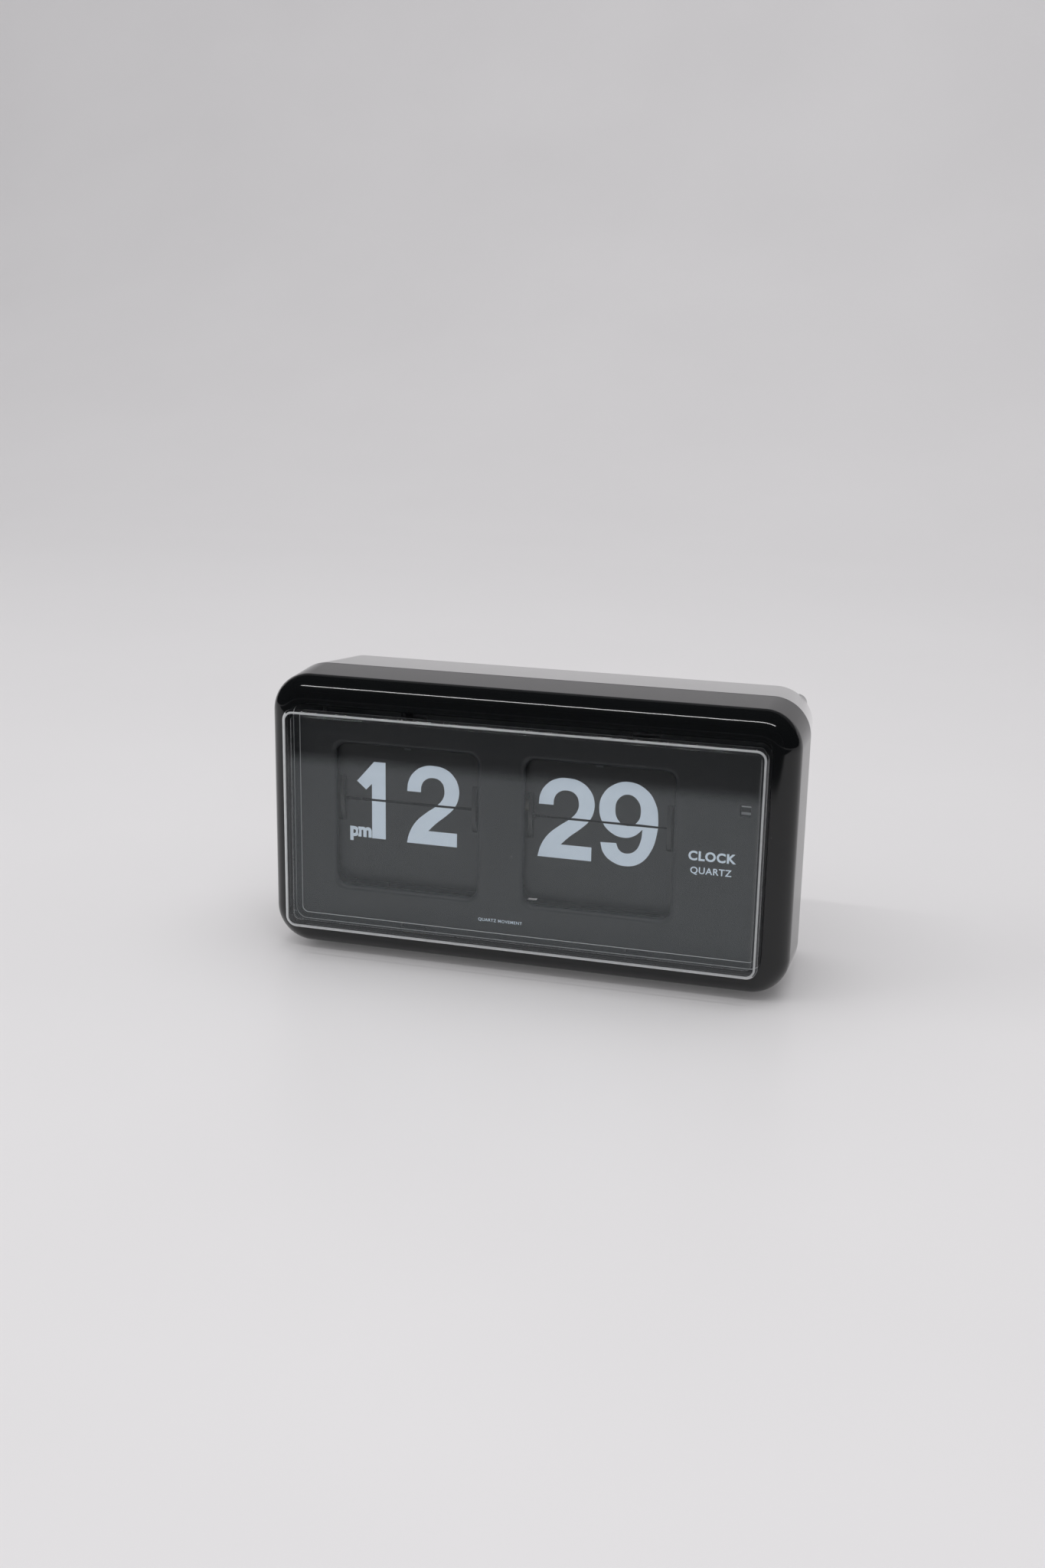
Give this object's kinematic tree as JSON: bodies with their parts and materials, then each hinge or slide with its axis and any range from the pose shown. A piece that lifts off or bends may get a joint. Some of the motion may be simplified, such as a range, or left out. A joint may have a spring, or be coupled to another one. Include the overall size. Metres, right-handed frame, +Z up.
{
  "type": "flip number clock",
  "caption": "Desk flip clock: black two-part case, clear cover, hinged hour and minute leaves on two drums, battery movement, setting wheel at the back.",
  "frame": {"origin": "on the ground, under the middle of the clock's bounding box", "axes": "X to the right seen from the front, Y from the front to the back, Z up"},
  "size_m": [0.21, 0.08, 0.1138],
  "materials": {
    "black_gloss": "gloss",
    "clear": "polished",
    "dial": "satin",
    "leaf": "satin",
    "steel": "brushed",
    "brass": "satin",
    "gear_plastic": "satin",
    "black_matte": "satin",
    "board": "satin",
    "copper": "enamelled",
    "cell": "printed",
    "rubber": "matte"
  },
  "bodies": {
    "root": {"front_shell": "black_gloss", "rear_shell": "black_gloss", "lens": "clear", "dial_plate": "dial", "left_plate": "steel", "middle_plate": "steel", "right_plate": "steel", "tie_rods": "steel", "frame_nuts": "brass", "drum_axle": "steel", "axle_clips": "steel", "transfer_stud": "steel", "hour_leaves": "leaf", "minute_leaves": "leaf", "hour_retainer": "black_matte", "minute_retainer": "black_matte", "movement_case": "black_matte", "movement_cover": "black_matte", "circuit_board": "board", "quartz_crystal": "steel", "motor_coil": "copper", "motor_core": "steel", "idler_stud": "steel", "battery_tray": "black_matte", "battery_cell": "cell", "contact_positive": "steel", "contact_negative": "steel", "feet": "rubber", "case_screws": "steel", "movement_screws": "steel"},
    "hour_drum": {"hour_left_disc": "black_matte", "hour_right_disc": "black_matte", "hour_hub": "gear_plastic", "hour_gear": "gear_plastic"},
    "minute_drum": {"minute_left_disc": "black_matte", "minute_right_disc": "black_matte", "minute_hub": "gear_plastic", "minute_pinion": "gear_plastic", "minute_gear": "gear_plastic"},
    "transfer": {"transfer_gear": "gear_plastic", "transfer_pinion": "gear_plastic"},
    "output": {"output_pinion": "gear_plastic"},
    "seconds": {"seconds_wheel": "black_matte"},
    "idler": {"idler_gear": "gear_plastic"},
    "setting": {"setting_shaft": "steel", "setting_pinion": "gear_plastic", "setting_wheel": "black_matte"},
    "hour_leaf": {"hour_front_leaf": "leaf"},
    "minute_leaf": {"minute_front_leaf": "leaf"},
    "door": {"battery_door": "black_gloss"}
  },
  "joints": [
    {"name": "minute_drum_spin", "type": "hinge", "parent": "root", "child": "minute_drum", "pos_m": [0.0293, -0.0096, 0.0643], "axis": [1, 0, 0], "continuous": true, "deforming": ["minute_leaves", "hour_leaves"]},
    {"name": "hour_drum_spin", "type": "hinge", "parent": "root", "child": "hour_drum", "pos_m": [-0.048, -0.0096, 0.0643], "axis": [1, 0, 0], "continuous": true},
    {"name": "transfer_spin", "type": "hinge", "parent": "root", "child": "transfer", "pos_m": [-0.013, 0.00277, 0.05193], "axis": [1, 0, 0], "continuous": true},
    {"name": "output_spin", "type": "hinge", "parent": "root", "child": "output", "pos_m": [0.062, -0.00085, 0.07945], "axis": [1, 0, 0], "continuous": true},
    {"name": "idler_spin", "type": "hinge", "parent": "root", "child": "idler", "pos_m": [0.061, 0.01502, 0.05996], "axis": [1, 0, 0], "continuous": true},
    {"name": "setting_spin", "type": "hinge", "parent": "root", "child": "setting", "pos_m": [0.068, 0.02762, 0.05512], "axis": [1, 0, 0], "continuous": true},
    {"name": "seconds_spin", "type": "hinge", "parent": "root", "child": "seconds", "pos_m": [0.0852, -0.0146, 0.0749], "axis": [1, 0, 0], "continuous": true},
    {"name": "minute_leaf_fall", "type": "hinge", "parent": "root", "child": "minute_leaf", "pos_m": [0.0293, -0.02338, 0.06502], "axis": [1, 0, 0], "range_deg": [0, 170], "deforming": ["minute_front_leaf"]},
    {"name": "hour_leaf_fall", "type": "hinge", "parent": "root", "child": "hour_leaf", "pos_m": [-0.048, -0.02337, 0.0652], "axis": [1, 0, 0], "range_deg": [0, 170], "deforming": ["hour_front_leaf"]},
    {"name": "battery_door_pull", "type": "slide", "parent": "root", "child": "door", "axis": [0, 1, 0], "range_m": [0, 0.015]}
  ],
  "couplings": [
    {"joint": "hour_drum_spin", "follows": "minute_drum_spin", "ratio": 0.041667},
    {"joint": "transfer_spin", "follows": "minute_drum_spin", "ratio": -0.25},
    {"joint": "output_spin", "follows": "minute_drum_spin", "ratio": -6},
    {"joint": "idler_spin", "follows": "minute_drum_spin", "ratio": -1.5},
    {"joint": "setting_spin", "follows": "minute_drum_spin", "ratio": 4.2857},
    {"joint": "seconds_spin", "follows": "minute_drum_spin", "ratio": 60}
  ]
}
